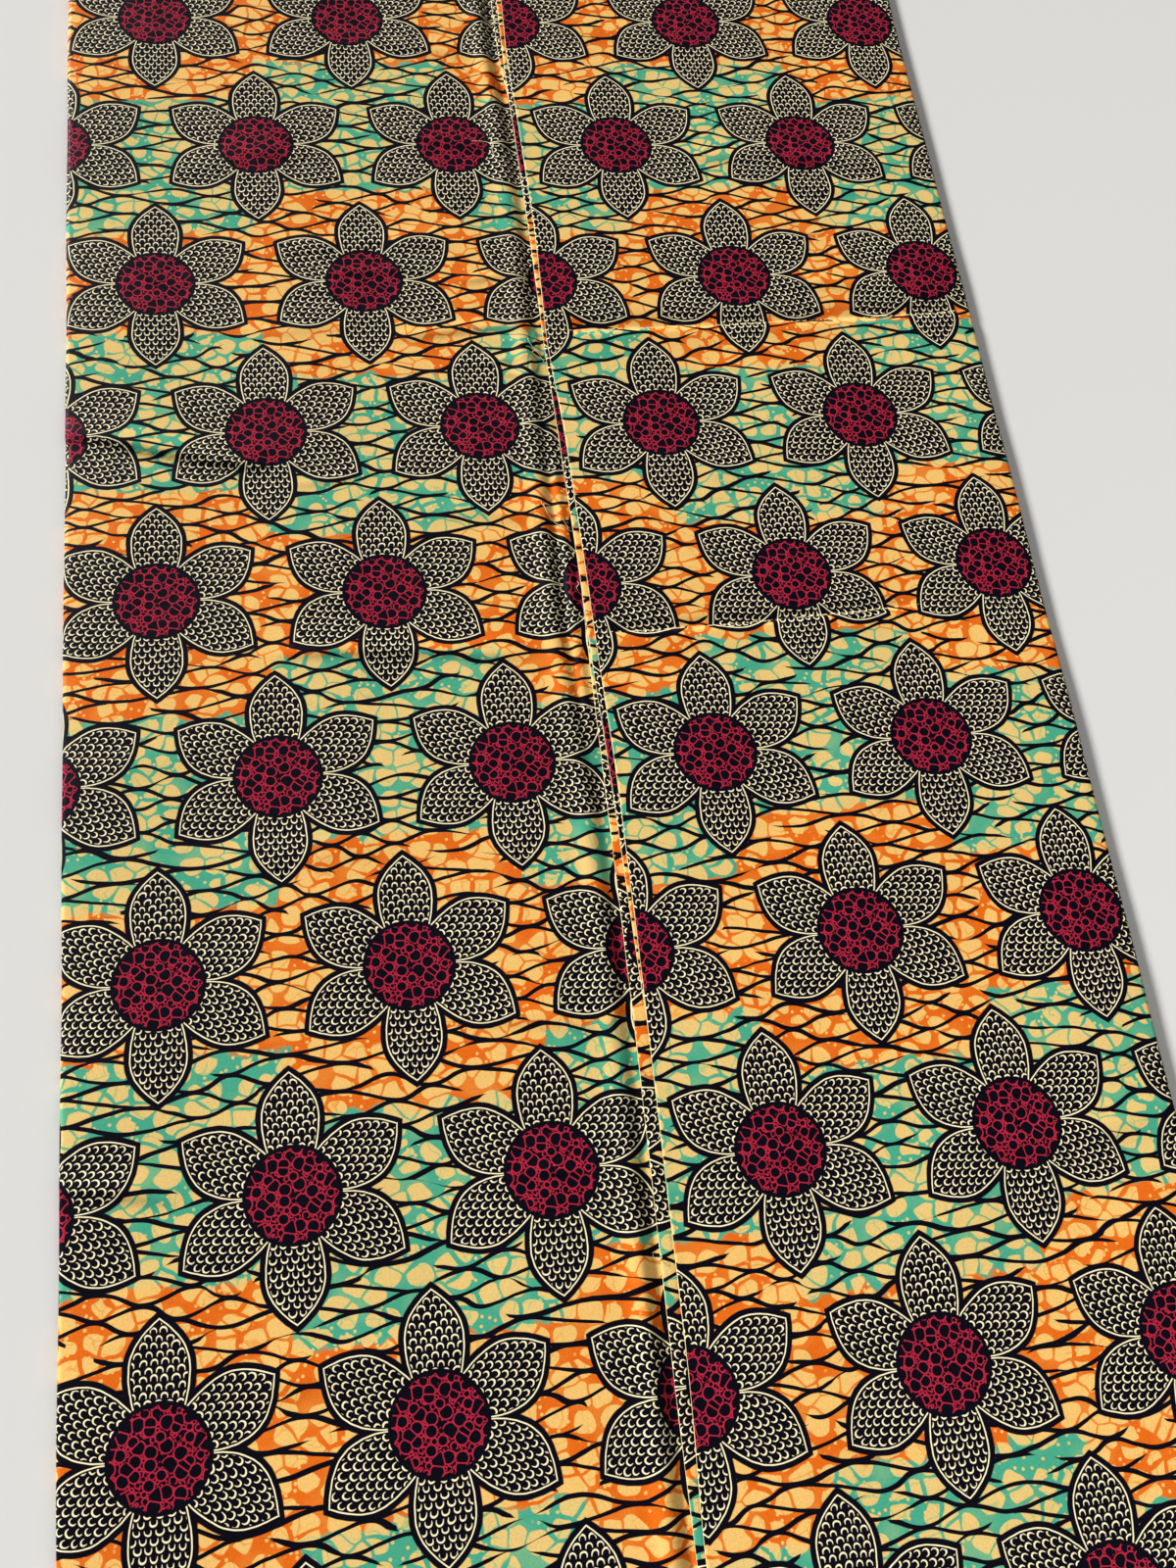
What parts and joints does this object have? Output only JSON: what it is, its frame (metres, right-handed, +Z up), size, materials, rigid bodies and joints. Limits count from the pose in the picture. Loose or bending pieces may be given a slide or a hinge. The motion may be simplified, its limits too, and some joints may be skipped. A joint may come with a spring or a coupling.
{
  "type": "wax print fabric",
  "caption": "Wax print cotton cloth folded and laid flat, its long sides folded in to meet in the middle, with a repeat of six-petal flowers.",
  "frame": {"origin": "middle of the footprint, on the surface that the cloth lies on", "axes": "+X across the cloth from the left half to the right half, +Y along its length, +Z up"},
  "size_m": [0.585, 1.83, 0.0085],
  "materials": {
    "printed_cotton_left": "waxed plain weave, printed with flowers on an orange and green crackle ground",
    "printed_cotton_right": "waxed plain weave, printed with flowers on an orange and green crackle ground",
    "printed_cotton_second": "waxed plain weave, printed, with a pale selvedge",
    "printed_cotton_third": "waxed plain weave, printed, with a pale selvedge",
    "printed_cotton_inner": "waxed plain weave, printed"
  },
  "bodies": {
    "root": {"hidden_layers": "printed_cotton_inner", "front_left_half": "printed_cotton_left", "front_right_half": "printed_cotton_right", "second_layer_selvedge": "printed_cotton_second", "third_layer_selvedge": "printed_cotton_third"}
  },
  "joints": []
}
